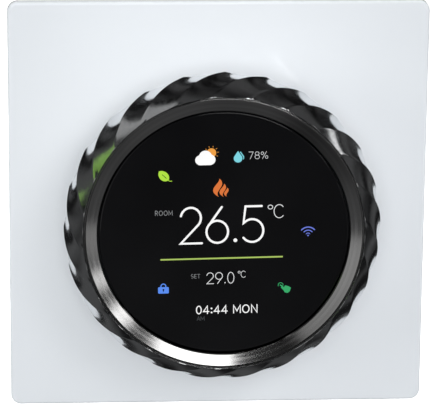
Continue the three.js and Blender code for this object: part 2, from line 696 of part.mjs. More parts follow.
function knobRing() {
  const rimDepth = plateFront + RIM_HEIGHT;
  const outline = knobOutline();
  const sides = FLUTES * FLUTE_STEPS;
  const blank = turned([[0, dialBack], ...outline, [0, dialFront]], sides);
  const place = blank.getAttribute('position');
  const vertex = new THREE.Vector3();
  for (let i = 0; i < place.count; i++) {
    vertex.fromBufferAttribute(place, i);
    const rise = (vertex.z - rimDepth) / FRONT_RISE;
    const drop = THREE.MathUtils.clamp((rimDepth - vertex.z) / (RIM_HEIGHT - 2), 0, 1);
    const depth = rise > 0
      ? THREE.MathUtils.lerp(FLUTE_DEPTH, FLUTE_FRONT_DEPTH, rise)
      : THREE.MathUtils.lerp(FLUTE_DEPTH, 0, drop);
    const angle = Math.atan2(vertex.y, vertex.x);
    const step = Math.round(angle / (2 * Math.PI) * sides);
    const along = ((step % FLUTE_STEPS) + FLUTE_STEPS) % FLUTE_STEPS / FLUTE_STEPS;
    const scoop = 4 * along * (1 - along);
    const radius = Math.hypot(vertex.x, vertex.y);
    const cutTo = radius > baseRadius / 2 ? radius - depth * scoop : radius;
    const twist = FLUTE_TWIST * (rise > 0 ? rise : -0.6 * drop) + FLUTE_START;
    const turnedTo = angle + THREE.MathUtils.degToRad(twist);
    place.setXY(i, cutTo * Math.cos(turnedTo), cutTo * Math.sin(turnedTo));
  }
  const seatBack = dialFront - BEZEL_THICKNESS - FIT;
  const bore = disc(0, 0, boreRadius, dialBack - CUT, seatBack - 2, 48);
  const mouth = disc(0, 0, glassRadius + FIT, seatBack - 2 - CUT, dialFront + CUT, 48);
  const seat = disc(0, 0, frontRadius - FLUTE_FRONT_DEPTH, seatBack, dialFront + CUT, 96);
  return without(solid(blank), [bore, mouth, seat]);
}
addPiece(dial, 'knob_ring', knobRing(), darkChrome);

function bezelRing() {
  const inner = bezelInner;
  const outer = frontRadius - FLUTE_FRONT_DEPTH - EDGE_FIT;
  const back = dialFront - BEZEL_THICKNESS;
  const profile = [
    [inner, back], [outer, back], [outer, dialFront - 0.1], [outer - 0.1, dialFront],
    [inner + 0.15, dialFront - BEZEL_DISH], [inner, dialFront - BEZEL_DISH - 0.15], [inner, back],
  ];
  return solid(turned(profile, 72));
}
addPiece(dial, 'bezel_ring', bezelRing(), brushedChrome);

// ---- Gears ----

// A spur gear's outline. The first tooth's middle is at the given angle, in radians.
function gearOutline(teeth, firstTooth) {
  const pitchRadius = teeth * GEAR_MODULE / 2;
  const pressure = Math.tan(THREE.MathUtils.degToRad(20));
  const half = (Math.PI * GEAR_MODULE / 2 - TOOTH_PLAY) / 2;
  const flank = [-1.1 * GEAR_MODULE, 0.9 * GEAR_MODULE].map((height) => ({
    radius: pitchRadius + height,
    turn: (half - height * pressure) / (pitchRadius + height),
  }));
  const points = [];
  for (let i = 0; i < teeth; i++) {
    const middle = firstTooth + 2 * Math.PI * i / teeth;
    const rising = flank.map((at) => [at.radius, middle - at.turn]);
    const falling = [...flank].reverse().map((at) => [at.radius, middle + at.turn]);
    for (const [radius, turn] of [...rising, ...falling]) {
      points.push(new THREE.Vector2(radius * Math.cos(turn), radius * Math.sin(turn)));
    }
  }
  return new THREE.Shape(points);
}

function gearRing() {
  const teeth = extruded(gearOutline(gearTeeth, encoderTurn), gearBack, gearFront);
  const neckFront = dialFront - BEZEL_THICKNESS - FIT - 2 - FIT;
  const neck = disc(0, 0, neckRadius, gearFront - 0.5, neckFront, 48);
  const bore = disc(0, 0, neckInner, gearBack - CUT, neckFront + CUT, 48);
  return without(teeth.add(neck), [bore]);
}
addPiece(dial, 'gear_ring', gearRing(), blackPlastic);

function encoderGear() {
  const back = encoderFront + FIT;
  const front = plateBack - 0.4;
  const gap = Math.PI / PINION_TEETH;
  const teeth = extruded(gearOutline(PINION_TEETH, encoderTurn + Math.PI + gap), back, front);
  return teeth.add(disc(0, 0, PINION_SHAFT, onBoard + 0.7, back + 0.5, 16));
}
addPiece(frontModule, 'encoder_gear', encoderGear(), whiteMatte, [encoderAt.x, encoderAt.y, 0]);

export default thermostat;
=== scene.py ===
"""The looks of a wall thermostat: a white plate with a fluted dark-chrome dial and a lit display.

Metres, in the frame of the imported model: the wall plane is y = 0, the room is towards -Y, up is +Z,
and the dial's axis is the Y axis. Depths called "out" are measured from the wall towards the room.
"""

import json
import math

import bpy
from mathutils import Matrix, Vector


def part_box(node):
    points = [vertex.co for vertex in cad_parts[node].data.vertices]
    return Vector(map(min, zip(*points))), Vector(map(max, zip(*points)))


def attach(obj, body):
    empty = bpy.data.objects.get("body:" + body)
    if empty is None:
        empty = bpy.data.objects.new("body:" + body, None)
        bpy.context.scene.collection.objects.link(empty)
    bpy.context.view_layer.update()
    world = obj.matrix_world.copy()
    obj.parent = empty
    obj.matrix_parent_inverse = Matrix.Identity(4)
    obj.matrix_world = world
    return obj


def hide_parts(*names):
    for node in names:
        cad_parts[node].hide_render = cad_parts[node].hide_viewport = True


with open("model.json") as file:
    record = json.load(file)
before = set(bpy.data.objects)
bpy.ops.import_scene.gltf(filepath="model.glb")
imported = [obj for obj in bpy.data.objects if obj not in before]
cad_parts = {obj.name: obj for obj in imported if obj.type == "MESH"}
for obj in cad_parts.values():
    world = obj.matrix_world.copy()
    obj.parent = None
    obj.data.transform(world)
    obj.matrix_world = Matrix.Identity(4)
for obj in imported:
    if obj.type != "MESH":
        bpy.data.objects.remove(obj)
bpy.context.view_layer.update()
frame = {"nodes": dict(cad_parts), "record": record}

MM = 0.001

# ---------------------------------------------------------------- sizes taken from the frame
plate_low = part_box("faceplate")[0]
knob_low, knob_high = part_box("knob_ring")
bezel_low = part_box("bezel_ring")[0]
glass_low, glass_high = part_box("glass_lens")

PLATE_OUT = -plate_low.y
RIM_RADIUS = knob_high.x
KNOB_BACK = -knob_high.y
KNOB_FRONT = -knob_low.y
BEZEL_FRONT = -bezel_low.y
GLASS_BACK = -glass_high.y
GLASS_OUT = -glass_low.y
GLASS_RADIUS = glass_high.x

# ---------------------------------------------------------------- sizes of the dial's surface
RIM_RISE = 15 * MM          # the widest circle, above the plate
FRONT_RADIUS = 28.5 * MM
FRONT_RISE = 6.3 * MM       # from the widest circle to the front edge
FOOT_RADIUS = 27.5 * MM
BULGE = (0.3 * MM, 1 * MM)  # the underside's handle, inside and behind the widest circle
CURVE_POWER = 2.35          # of the outline in front of the widest circle
BORE_RADIUS = 26.3 * MM
FLUTES = 24
FLUTE_PITCH = 2 * math.pi / FLUTES
FLUTE_DEPTH = 0.5 * MM      # at the widest circle
FLUTE_FRONT_DEPTH = 0.24 * MM
FLUTE_END = 2 * MM          # the flutes run out this far above the plate
FLUTE_TWIST = math.radians(21)
UNDERSIDE_TWIST = -0.6      # of the twist in front
FLUTE_START = math.radians(14.5)
SEAT_RADIUS = 28.22 * MM
SEAT_DEPTH = 2.5 * MM
SEAT_LIP = 0.12 * MM        # chamfer between the front edge and the bezel's seat
LIP_STAND = 0.02 * MM       # how far the chamfer's top stands out past the front edge
BEZEL_OUTER = 28.12 * MM
BEZEL_INNER = 25.35 * MM
BEZEL_DISH = 0.6 * MM
BEZEL_THICKNESS = 2.2 * MM
BEZEL_CHAMFER = 0.18 * MM
BEZEL_STEPS = 8             # across the dished face
GLASS_EDGE = 0.25 * MM
AXIS_HOLE = 0.01 * MM       # left round the axis of the glass, too small to see

# ---------------------------------------------------------------- how finely curves are cut
KNOB_STEPS = 14             # across each flute
LOWER_RINGS = 14
UPPER_RINGS = 22
BEZEL_SIDES = 256
GLASS_SIDES = 192


def out(x, z, depth):
    """A point of the front view, at a depth out from the wall."""
    return Vector((x, -depth, z))


# ---------------------------------------------------------------- materials
NOISE_SPAN = (0.3, 0.7)
RING_DETAIL = 4


class Surface:
    """A node material with one Principled shader, and short calls for what its textures need."""

    def __init__(self, name, color, roughness, metallic=0.0, **sockets):
        self.material = bpy.data.materials.new(name)
        self.material.use_nodes = True
        self.tree = self.material.node_tree
        self.shader = self.tree.nodes["Principled BSDF"]
        self.shader.inputs["Base Color"].default_value = (*color, 1)
        self.shader.inputs["Roughness"].default_value = roughness
        self.shader.inputs["Metallic"].default_value = metallic
        for socket, value in sockets.items():
            self.shader.inputs[socket.replace("_", " ")].default_value = value
        self.color = color
        self.roughness = roughness
        self.place = self.node("ShaderNodeTexCoord").outputs["Object"]

    def node(self, kind, **values):
        made = self.tree.nodes.new(kind)
        for key, value in values.items():
            setattr(made, key, value)
        return made

    def link(self, source, target):
        self.tree.links.new(source, target)

    def noise(self, scale, detail, stretch=(1, 1, 1)):
        """Noise in metres: scale is features a metre, and stretch squeezes it along an axis."""
        mapping = self.node("ShaderNodeMapping")
        mapping.inputs["Scale"].default_value = stretch
        texture = self.node("ShaderNodeTexNoise")
        texture.inputs["Scale"].default_value = scale
        texture.inputs["Detail"].default_value = detail
        self.link(self.place, mapping.inputs["Vector"])
        self.link(mapping.outputs["Vector"], texture.inputs["Vector"])
        return texture.outputs["Fac"]

    def rings(self, scale):
        """Noise that changes only with the distance from the dial's axis, as turning marks do."""
        parts = self.node("ShaderNodeSeparateXYZ")
        flat = self.node("ShaderNodeCombineXYZ")
        length = self.node("ShaderNodeVectorMath", operation="LENGTH")
        texture = self.node("ShaderNodeTexNoise", noise_dimensions="1D")
        texture.inputs["Scale"].default_value = scale
        texture.inputs["Detail"].default_value = RING_DETAIL
        self.link(self.place, parts.inputs["Vector"])
        self.link(parts.outputs["X"], flat.inputs["X"])
        self.link(parts.outputs["Z"], flat.inputs["Z"])
        self.link(flat.outputs["Vector"], length.inputs[0])
        self.link(length.outputs["Value"], texture.inputs["W"])
        return texture.outputs["Fac"]

    def spread(self, source, low, high):
        """The source, over the span that noise fills, mapped to a range."""
        mapped = self.node("ShaderNodeMapRange")
        mapped.inputs["From Min"].default_value = NOISE_SPAN[0]
        mapped.inputs["From Max"].default_value = NOISE_SPAN[1]
        mapped.inputs["To Min"].default_value = low
        mapped.inputs["To Max"].default_value = high
        self.link(source, mapped.inputs["Value"])
        return mapped.outputs["Result"]

    def tint(self, source, amount, other=None):
        """The colour varies by amount between darker and lighter, or towards another colour."""
        mix = self.node("ShaderNodeMix", data_type="RGBA")
        low = [c * (1 - amount) for c in self.color]
        high = other or [min(1, c * (1 + amount)) for c in self.color]
        mix.inputs["A"].default_value = (*low, 1)
        mix.inputs["B"].default_value = (*high, 1)
        self.link(self.spread(source, 0, 1), mix.inputs["Factor"])
        self.link(mix.outputs["Result"], self.shader.inputs["Base Color"])
        return self

    def rough(self, source, amount):
        """The roughness varies by amount either way."""
        low, high = self.roughness - amount, self.roughness + amount
        self.link(self.spread(source, low, high), self.shader.inputs["Roughness"])
        return self

    def bump(self, source, height):
        """The source raises the surface by height, in metres."""
        bump = self.node("ShaderNodeBump")
        bump.inputs["Strength"].default_value = 1
        bump.inputs["Distance"].default_value = height
        self.link(source, bump.inputs["Height"])
        self.link(bump.outputs["Normal"], self.shader.inputs["Normal"])
        return self


def moulded(name, color, roughness, height=0.012 * MM):
    """Moulded plastic: a fine grain, slow colour changes and patchy gloss."""
    surface = Surface(name, color, roughness)
    surface.tint(surface.noise(60, 2), 0.04)
    surface.rough(surface.noise(240, 3), 0.06)
    return surface.bump(surface.noise(2600, 4), height)


def drawn_steel():
    """Drawn and plated metal: streaks along one direction in gloss and colour."""
    surface = Surface("steel", (0.56, 0.56, 0.57), 0.27, 1.0)
    streaks = surface.noise(900, 4, (1, 0.12, 1))
    surface.tint(streaks, 0.08)
    surface.rough(streaks, 0.05)
    return surface.bump(streaks, 0.002 * MM)


def gloss_white():
    """The faceplate: glossy moulded plastic, faintly uneven."""
    surface = Surface("white_gloss", (0.80, 0.825, 0.86), 0.16,
                      Coat_Weight=0.3, Coat_Roughness=0.05)
    surface.tint(surface.noise(35, 2), 0.012)
    surface.rough(surface.noise(180, 3), 0.04)
    return surface.bump(surface.noise(700, 2), 0.0012 * MM)


def dark_chrome():
    """Polished chrome with a fine grain along the flutes; it looks dark because the room is dim."""
    surface = Surface("dark_chrome", (0.77, 0.78, 0.79), 0.15, 1.0)
    grain = surface.noise(1500, 4, (1, 0.25, 1))
    surface.tint(surface.noise(90, 2), 0.05)
    surface.rough(grain, 0.05)
    return surface.bump(grain, 0.0012 * MM)


def turned_chrome():
    """Chrome with turning marks round the dial's axis."""
    surface = Surface("brushed_chrome", (0.60, 0.595, 0.59), 0.112, 1.0, Anisotropic=0.2)
    marks = surface.rings(1600)
    surface.tint(marks, 0.10)
    surface.rough(marks, 0.02)
    tangent = surface.node("ShaderNodeTangent", direction_type="RADIAL", axis="Y")
    surface.link(tangent.outputs["Tangent"], surface.shader.inputs["Tangent"])
    return surface


def screw_steel():
    """Zinc-plated screws: blotchy plating over fine drawing marks."""
    surface = Surface("screw_steel", (0.60, 0.60, 0.58), 0.26, 1.0)
    surface.tint(surface.noise(700, 4), 0.08)
    surface.rough(surface.noise(500, 3), 0.05)
    return surface.bump(surface.noise(2500, 3), 0.002 * MM)


def black_glass():
    """Smoked glass with faint patches of wiping in its gloss."""
    surface = Surface("black_glass", (0.004, 0.004, 0.0045), 0.05,
                      Coat_Weight=0.6, Coat_Roughness=0.02)
    surface.rough(surface.noise(70, 3), 0.03)
    return surface.tint(surface.noise(50, 2), 0.2)


def circuit_board():
    """Solder mask over copper: straight tracks show as a lighter green, raised a little."""
    surface = Surface("circuit_board", (0.012, 0.09, 0.035), 0.32, Coat_Weight=0.4)
    mapping = surface.node("ShaderNodeMapping")
    mapping.inputs["Rotation"].default_value = (math.pi / 2, 0, 0)
    tracks = surface.node("ShaderNodeTexBrick", offset=0.5, squash=0.7)
    tracks.inputs["Scale"].default_value = 170
    tracks.inputs["Mortar Size"].default_value = 0.035
    tracks.inputs["Brick Width"].default_value = 1.4
    surface.link(surface.place, mapping.inputs["Vector"])
    surface.link(mapping.outputs["Vector"], tracks.inputs["Vector"])
    surface.tint(tracks.outputs["Fac"], 0.15, (0.03, 0.20, 0.07))
    surface.rough(surface.noise(300, 3), 0.06)
    return surface.bump(tracks.outputs["Fac"], 0.02 * MM)


def lit(name, color, strength):
    """A part of the display picture that glows, a little uneven as a backlight is."""
    surface = Surface(name, (0.01, 0.01, 0.01), 0.4, Emission_Strength=strength)
    mix = surface.node("ShaderNodeMix", data_type="RGBA")
    mix.inputs["A"].default_value = (*[c * 0.94 for c in color], 1)
    mix.inputs["B"].default_value = (*color, 1)
    surface.link(surface.noise(300, 1), mix.inputs["Factor"])
    surface.link(mix.outputs["Result"], surface.shader.inputs["Emission Color"])
    return surface


SURFACES = {
    "white_gloss": gloss_white(),
    "white_matte": moulded("white_matte", (0.77, 0.78, 0.785), 0.5, height=0.02 * MM),
    "dark_chrome": dark_chrome(),
    "brushed_chrome": turned_chrome(),
    "black_glass": black_glass(),
    "black_plastic": moulded("black_plastic", (0.018, 0.019, 0.021), 0.45, height=0.02 * MM),
    "grey_plastic": moulded("grey_plastic", (0.20, 0.21, 0.22), 0.45),
    "white_film": moulded("white_film", (0.86, 0.89, 0.92), 0.3, height=0.004 * MM),
    "panel_glass": moulded("panel_glass", (0.01, 0.013, 0.017), 0.1, height=0.001 * MM),
    "circuit_board": circuit_board(),
    "steel": drawn_steel(),
    "ceramic": moulded("ceramic", (0.70, 0.66, 0.56), 0.55),
    "blue_plastic": moulded("blue_plastic", (0.02, 0.11, 0.36), 0.35),
    "green_plastic": moulded("green_plastic", (0.02, 0.22, 0.09), 0.4),
    "yellow_plastic": moulded("yellow_plastic", (0.66, 0.40, 0.05), 0.35),
    "sleeve_black": moulded("sleeve_black", (0.018, 0.022, 0.03), 0.3),
    "orange_film": moulded("orange_film", (0.42, 0.17, 0.03), 0.35),
}
SCREW_STEEL = screw_steel()


def dress(obj, surface):
    """Gives an object one surface in place of all it had."""
    obj.data.materials.clear()
    obj.data.materials.append(surface.material)


def smooth(obj, angle):
    """Smooth shading that keeps edges sharper than the angle, in degrees."""
    mesh = obj.data
    mesh.shade_smooth()
    mesh.set_sharp_from_angle(angle=math.radians(angle))


WELD_DISTANCE = 0.001 * MM
EDGE_ANGLE = math.radians(40)       # what is sharper is an edge, and gets rounded


def round_edges(obj, width):
    """Rounds an object's edges: moulded and stamped pieces have none that are sharp."""
    weld = obj.modifiers.new("weld", "WELD")
    weld.merge_threshold = WELD_DISTANCE
    bevel = obj.modifiers.new("edges", "BEVEL")
    bevel.width = width
    bevel.segments = 2
    bevel.limit_method = "ANGLE"
    bevel.angle_limit = EDGE_ANGLE
    normals = obj.modifiers.new("flat_faces_stay_flat", "WEIGHTED_NORMAL")
    normals.mode = "FACE_AREA"
    normals.weight = 100


EDGE_WIDTH = 0.08           # millimetres, unless listed
EDGE_WIDTHS = {
    "base_plate": 0.25, "power_box": 0.5, "terminal_block": 0.2, "rear_cover": 0.3, "relay": 0.4,
    "power_converter": 0.5, "film_capacitor": 0.6, "header_socket": 0.12, "encoder_body": 0.2,
    "switch_body": 0.15, "smoothing_capacitor_1": 0.5, "smoothing_capacitor_2": 0.5, "buzzer": 0.3,
    "clock_battery": 0.25, "faceplate": 0.15,
}


def dress_frame():
    """Every CAD node that stays gets its slot's surface, smooth shading and rounded edges."""
    slots = {part["node"]: part["material_slot"] for part in frame["record"]["subparts"]}
    for node, obj in frame["nodes"].items():
        dress(obj, SURFACES[slots[node]])
        obj.data.shade_smooth()
        round_edges(obj, EDGE_WIDTHS.get(node, EDGE_WIDTH) * MM)


# ---------------------------------------------------------------- meshes
def new_piece(name, points, faces, surface, body):
    """A visible piece of the part, which moves with a body and wears the surface it is given."""
    mesh = bpy.data.meshes.new(name)
    mesh.from_pydata(points, [], faces)
    mesh.validate()
    mesh.update()
    obj = bpy.data.objects.new(name, mesh)
    bpy.context.scene.collection.objects.link(obj)
    dress(obj, surface)
    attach(obj, body)
    return obj


def rings_to_faces(rings, sides):
    """Quads between a number of rings of points, and from the last ring back to the first."""
    faces = []
    for i in range(rings):
        a, b = i * sides, (i + 1) % rings * sides
        for j in range(sides):
            k = (j + 1) % sides
            faces.append((a + j, a + k, b + k, b + j))
    return faces


def ring_points(radius, depth, sides, start=0.0):
    """A circle about the dial's axis."""
    turns = [start + 2 * math.pi * j / sides for j in range(sides)]
    return [out(radius * math.cos(turn), radius * math.sin(turn), depth) for turn in turns]


def turned_piece(name, profile, sides, body, slot):
    """A closed profile of (radius, out) points turned about the dial's axis."""
    points = []
    for radius, depth in profile:
        points += ring_points(radius, depth, sides)
    faces = rings_to_faces(len(profile), sides)
    return new_piece(name, points, faces, SURFACES[slot], body)


def arc(cx, cy, rx, ry, start, end, steps):
    """Points along an ellipse's arc, angles in degrees."""
    turns = [math.radians(start + (end - start) * i / steps) for i in range(steps + 1)]
    return [(cx + rx * math.cos(t), cy + ry * math.sin(t)) for t in turns]


# ---------------------------------------------------------------- the dial and its glass
def knob_outline():
    """(radius, out) points from the foot to the widest circle, and over to the front edge."""
    rim_out = PLATE_OUT + RIM_RISE
    foot = Vector((FOOT_RADIUS, KNOB_BACK))
    bulge = Vector((RIM_RADIUS - BULGE[0], rim_out - BULGE[1]))
    rim = Vector((RIM_RADIUS, rim_out))
    outline = []
    for i in range(LOWER_RINGS):
        t = i / LOWER_RINGS
        outline.append(foot * (1 - t) ** 2 + bulge * 2 * t * (1 - t) + rim * t * t)
    for i in range(UPPER_RINGS + 1):
        t = i / UPPER_RINGS
        radius = RIM_RADIUS - (RIM_RADIUS - FRONT_RADIUS) * t ** CURVE_POWER
        outline.append(Vector((radius, rim_out + FRONT_RISE * t)))
    return outline


def flute(radius, depth, along, count):
    """A fluted point: the outline's radius less the scoop, turned by the twist at this depth."""
    rise = (depth - PLATE_OUT - RIM_RISE) / FRONT_RISE
    fall = min(max(-rise * FRONT_RISE / (RIM_RISE - FLUTE_END), 0), 1)
    if rise > 0:
        scoop = FLUTE_DEPTH + (FLUTE_FRONT_DEPTH - FLUTE_DEPTH) * rise
        twist = FLUTE_TWIST * rise
    else:
        scoop = FLUTE_DEPTH * (1 - fall)
        twist = UNDERSIDE_TWIST * FLUTE_TWIST * fall
    cut = radius - scoop * 4 * along * (1 - along)
    turn = FLUTE_START + twist + FLUTE_PITCH * (count + along)
    return out(cut * math.cos(turn), cut * math.sin(turn), depth)


def make_knob():
    """The fluted outside, then the seat for the bezel and the bore."""
    sides = FLUTES * KNOB_STEPS
    points = []
    outline = knob_outline()
    for radius, depth in outline:
        for j in range(sides):
            count, step = divmod(j, KNOB_STEPS)
            points.append(flute(radius, depth, step / KNOB_STEPS, count))
    inner = [
        (SEAT_RADIUS + SEAT_LIP, KNOB_FRONT + LIP_STAND), (SEAT_RADIUS, KNOB_FRONT - SEAT_LIP),
        (SEAT_RADIUS, KNOB_FRONT - SEAT_DEPTH), (BORE_RADIUS, KNOB_FRONT - SEAT_DEPTH),
        (BORE_RADIUS, KNOB_BACK),
    ]
    for radius, depth in inner:
        points += ring_points(radius, depth, sides, FLUTE_START + FLUTE_TWIST)
    faces = rings_to_faces(len(outline) + len(inner), sides)
    knob = new_piece(
        "knob_fluted", points, faces, SURFACES["dark_chrome"], "dial")
    smooth(knob, 24)
    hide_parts("knob_ring")


def make_bezel():
    """A ring with a face dished towards the glass and a rounded outer edge."""
    front = BEZEL_FRONT
    back = front - BEZEL_THICKNESS
    chamfer = BEZEL_CHAMFER
    face = []
    for i in range(BEZEL_STEPS + 1):
        t = i / BEZEL_STEPS
        radius = BEZEL_OUTER - chamfer - t * (BEZEL_OUTER - BEZEL_INNER - 2 * chamfer)
        face.append((radius, front - BEZEL_DISH * t))
    profile = [
        (BEZEL_INNER, back), (BEZEL_OUTER, back), (BEZEL_OUTER, front - chamfer),
        *[(BEZEL_OUTER - chamfer + chamfer * math.cos(math.radians(a)),
           front - chamfer + chamfer * math.sin(math.radians(a))) for a in (30, 50, 70)],
        *face,
        (BEZEL_INNER, front - BEZEL_DISH - chamfer * 1.5),
    ]
    bezel = turned_piece("bezel_turned", profile, BEZEL_SIDES, "dial", "brushed_chrome")
    smooth(bezel, 30)
    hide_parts("bezel_ring")


def make_glass():
    """A flat round glass with a rounded front edge."""
    edge = GLASS_EDGE
    profile = [
        (AXIS_HOLE, GLASS_BACK), (GLASS_RADIUS, GLASS_BACK), (GLASS_RADIUS, GLASS_OUT - edge)]
    profile += [
        (GLASS_RADIUS - edge + edge * math.cos(t), GLASS_OUT - edge + edge * math.sin(t))
        for t in [math.radians(a) for a in (30, 60, 90)]
    ]
    profile += [(GLASS_RADIUS - 2 * edge, GLASS_OUT), (AXIS_HOLE, GLASS_OUT)]
    glass = turned_piece("glass_cover", profile, GLASS_SIDES, "dial_carriage", "black_glass")
    smooth(glass, 50)
    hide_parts("glass_lens")


# ---------------------------------------------------------------- screws
SCREW_SIDES = 36
CROWN_RINGS = 12
THREAD_STEPS = 5            # along each pitch
SCREWS = {                  # head height, shank radius and thread pitch, millimetres
    "wall_screw": (1.4, 1.9, 0.7),
    "box_screw": (1.0, 0.75, 0.6),
    "cover_screw": (0.9, 0.75, 0.6),
}
THREAD_DEPTH = 0.55         # of the pitch
THREAD_TIP = 0.75           # the screw's point, of its radius
SCREW_CORE = 0.02 * MM      # left round the axis, too small to see
CROWN = 0.3                 # of the head's height: how far its face is domed
CROWN_EDGE = 0.96           # of the head's radius, and likewise the four below
RECESS_HALF_WIDTH = 0.20
RECESS_SIDE = 0.08
RECESS_REACH = 0.62
RECESS_END = 0.12
RECESS_DEPTH = 0.5          # of the head's height
HEAD_SIDE = ((1, 0.36), (1, 0.95), (0.95, 1))   # (radius, below the top), of the head's own


def crown_drop(radius, turn, head, height):
    """How far below its top a pan head's face lies, with the cross recess."""
    across = sorted((abs(radius * math.cos(turn)), abs(radius * math.sin(turn))))
    arm = min(max((RECESS_HALF_WIDTH * head - across[0]) / (RECESS_SIDE * head), 0), 1)
    reach = min(max((RECESS_REACH * head - across[1]) / (RECESS_END * head), 0), 1)
    return CROWN * height * (radius / head) ** 2 + RECESS_DEPTH * height * arm * reach


def thread_radius(along, turn, shank, pitch, length):
    """The thread winds about the shank and runs out in its last pitch."""
    phase = (along / pitch - turn / (2 * math.pi)) % 1
    ends = min(1, (length - along) / pitch)
    taper = THREAD_TIP + (1 - THREAD_TIP) * ends
    return (shank - THREAD_DEPTH * pitch * abs(2 * phase - 1)) * taper


def make_screw(node, body, height, shank, pitch):
    """A pan-head screw with a real thread, on the axis of the CAD one and of its length."""
    low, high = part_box(node)
    x, z = (low.x + high.x) / 2, (low.z + high.z) / 2
    head = (high.x - low.x) / 2
    start, way = (-high.y, 1) if node.startswith("cover_screw") else (-low.y, -1)
    length = high.y - low.y - height
    turns = [2 * math.pi * j / SCREW_SIDES for j in range(SCREW_SIDES)]
    rings = []                  # each point is (radius, below the head's top)
    for i in range(CROWN_RINGS + 1):
        radius = SCREW_CORE + (CROWN_EDGE * head - SCREW_CORE) * i / CROWN_RINGS
        rings.append([(radius, crown_drop(radius, turn, head, height)) for turn in turns])
    for radius, below in HEAD_SIDE:
        rings.append([(radius * head, below * height)] * SCREW_SIDES)
    count = round(length / pitch * THREAD_STEPS)
    for i in range(count + 1):
        along = length * i / count
        radii = [thread_radius(along, turn, shank, pitch, length) for turn in turns]
        rings.append([(radius, height + along) for radius in radii])
    rings.append([(SCREW_CORE, height + length)] * SCREW_SIDES)
    points = []
    for level in rings:
        for turn, (radius, below) in zip(turns, level):
            across, up = radius * math.cos(turn), radius * math.sin(turn)
            points.append(out(x + across, z + up, start + way * below))
    faces = rings_to_faces(len(rings), SCREW_SIDES)
    if way == 1:
        faces = [face[::-1] for face in faces]
    screw = new_piece(node + "_threaded", points, faces, SCREW_STEEL, body)
    smooth(screw, 40)
    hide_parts(node)


def make_screws():
    """Every screw of the kinds in SCREWS, on the body that holds it."""
    for body, nodes in frame["record"]["behaviour"]["bodies"].items():
        for node in nodes:
            for kind, sizes in SCREWS.items():
                if node.startswith(kind):
                    make_screw(node, body, *[size * MM for size in sizes])


# ---------------------------------------------------------------- the display's picture
WHITE = lit("lit_white", (1.0, 1.0, 1.0), 1.0)
SOFT_WHITE = lit("lit_soft_white", (0.80, 0.81, 0.82), 1.0)
GREY = lit("lit_grey", (0.30, 0.31, 0.32), 1.0)
DIM = lit("lit_dim", (0.05, 0.055, 0.06), 0.9)
LIME = lit("lit_lime", (0.45, 0.62, 0.13), 0.9)
LEAF = lit("lit_leaf", (0.48, 0.85, 0.05), 0.9)
ORANGE = lit("lit_orange", (0.90, 0.36, 0.05), 0.95)
FLAME = lit("lit_flame", (0.85, 0.20, 0.035), 0.85)
CYAN = lit("lit_cyan", (0.22, 0.75, 0.85), 0.9)
BLUE = lit("lit_blue", (0.10, 0.28, 0.95), 0.95)
LILAC = lit("lit_lilac", (0.16, 0.22, 0.80), 0.9)
GREEN = lit("lit_green", (0.03, 0.42, 0.14), 0.95)

PICTURE_TILT = math.radians(1.0)
PICTURE_OUT = GLASS_OUT + 0.03 * MM
LAYER_STEP = 0.012 * MM     # between the picture's layers
MITRE_LIMIT = 0.45


def at_picture(x, y, layer):
    """A point of the picture, in millimetres from its middle, on the glass."""
    turn = complex(math.cos(PICTURE_TILT), math.sin(PICTURE_TILT)) * complex(x, y)
    return out(turn.real * MM, turn.imag * MM, PICTURE_OUT + layer * LAYER_STEP)


class Picture:
    """Collects flat shapes of one colour into one piece."""

    def __init__(self, layer=0):
        self.points = []
        self.faces = []
        self.layer = layer

    def shape(self, outline):
        """A filled outline, drawn anticlockwise."""
        first = len(self.points)
        self.points += [at_picture(x, y, self.layer) for x, y in outline]
        self.faces.append(tuple(range(first, first + len(outline))))

    def disc(self, x, y, radius, sides):
        """A round spot."""
        self.shape(arc(x, y, radius, radius, 0, 360 - 360 / sides, sides - 1))

    def stroke(self, path, width, round_ends=True):
        """A line of the given width along a path, mitred at its corners."""
        half = width / 2
        path = [Vector(p) for p in path]
        left, right = [], []
        for i, point in enumerate(path):
            before = (point - path[i - 1]).normalized() if i else None
            after = (path[i + 1] - point).normalized() if i + 1 < len(path) else None
            along = ((before or after) + (after or before)).normalized()
            across = Vector((-along.y, along.x))
            straight = Vector((-(after or before).y, (after or before).x))
            reach = half / max(MITRE_LIMIT, across.dot(straight))
            left.append(point + across * reach)
            right.append(point - across * reach)
        first = len(self.points)
        for a, b in zip(left, right):
            self.points += [at_picture(*a, self.layer), at_picture(*b, self.layer)]
        for i in range(len(path) - 1):
            a = first + 2 * i
            self.faces.append((a + 1, a + 3, a + 2, a))
        if round_ends:
            self.disc(*path[0], half, 12)
            self.disc(*path[-1], half, 12)

    def made(self, name, surface):
        """Turns the shapes collected so far into a piece on the glass."""
        new_piece(name, self.points, self.faces, surface, "dial_carriage")


def ring(cx, cy, rx, ry):
    """A closed round stroke."""
    return arc(cx, cy, rx, ry, 90, 450, 28)


